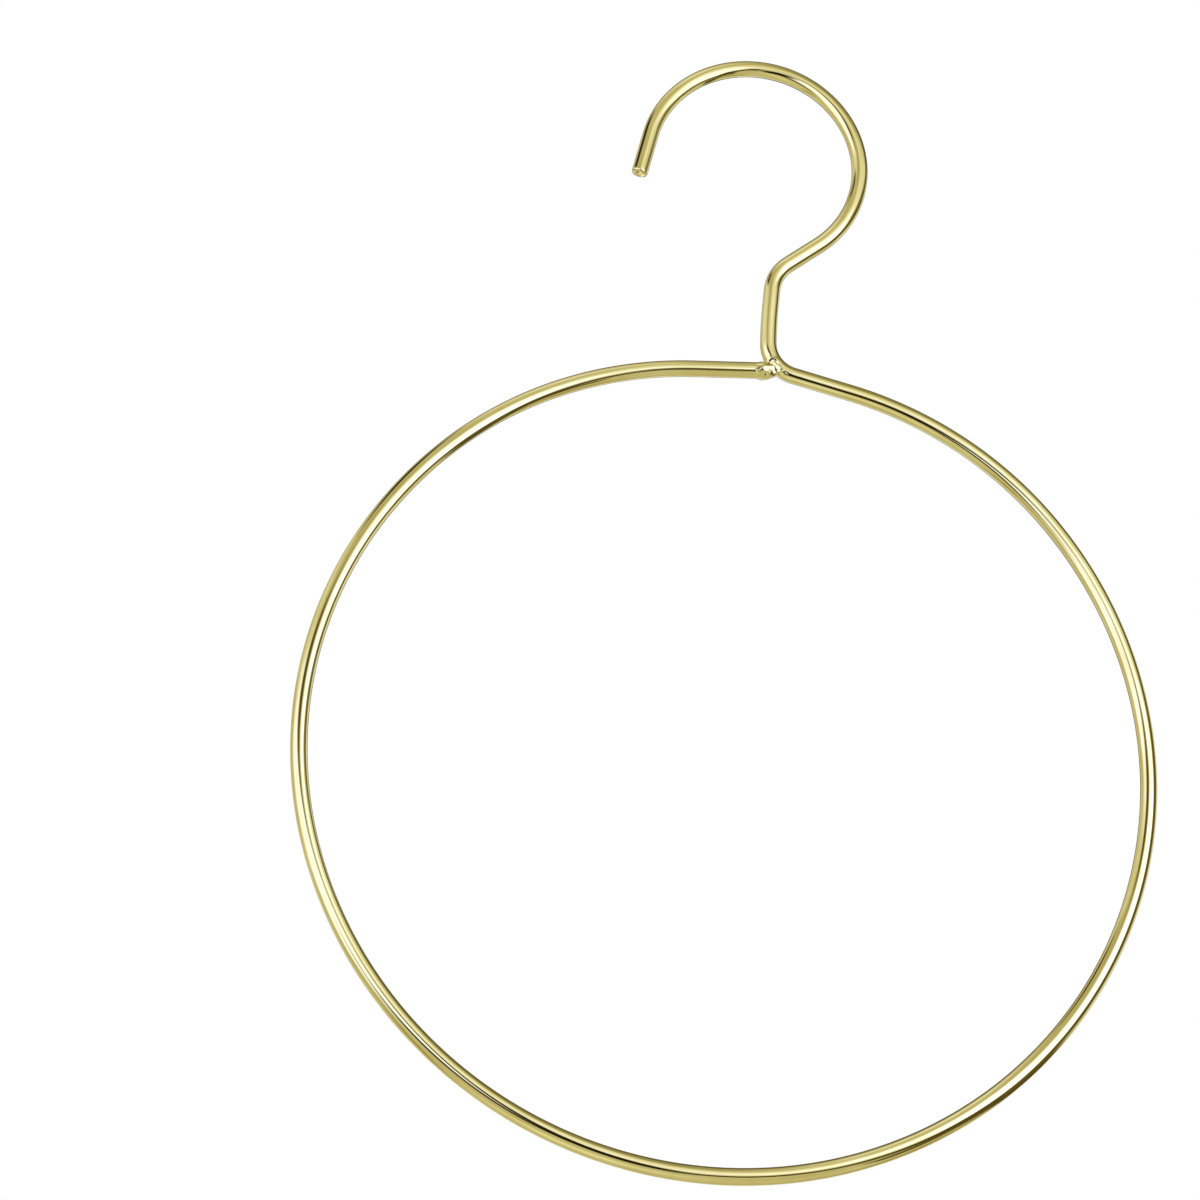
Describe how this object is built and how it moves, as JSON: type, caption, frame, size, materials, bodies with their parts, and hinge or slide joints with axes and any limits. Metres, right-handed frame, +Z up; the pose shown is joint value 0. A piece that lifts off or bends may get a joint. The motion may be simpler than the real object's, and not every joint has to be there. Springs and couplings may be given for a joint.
{
  "type": "scarf hanger",
  "caption": "Ring-shaped scarf hanger bent from round gold-tone plated steel wire: an open hook hangs on a rail and a welded foot closes the ring that carries the scarf.",
  "frame": {"origin": "top of the hook's inside, where the hanger rests on its rail", "axes": "+Z up as it hangs, ring and hook in the XZ plane, hook tip on the -X side, rail along Y"},
  "size_m": [0.2, 0.0058, 0.279],
  "materials": {
    "plated_wire": "steel wire, polished pale gold plating",
    "plated_weld": "rough weld metal under the same pale gold plating"
  },
  "bodies": {
    "root": {"hanger_wire": "plated_wire", "weld_bead": "plated_weld"}
  },
  "joints": []
}
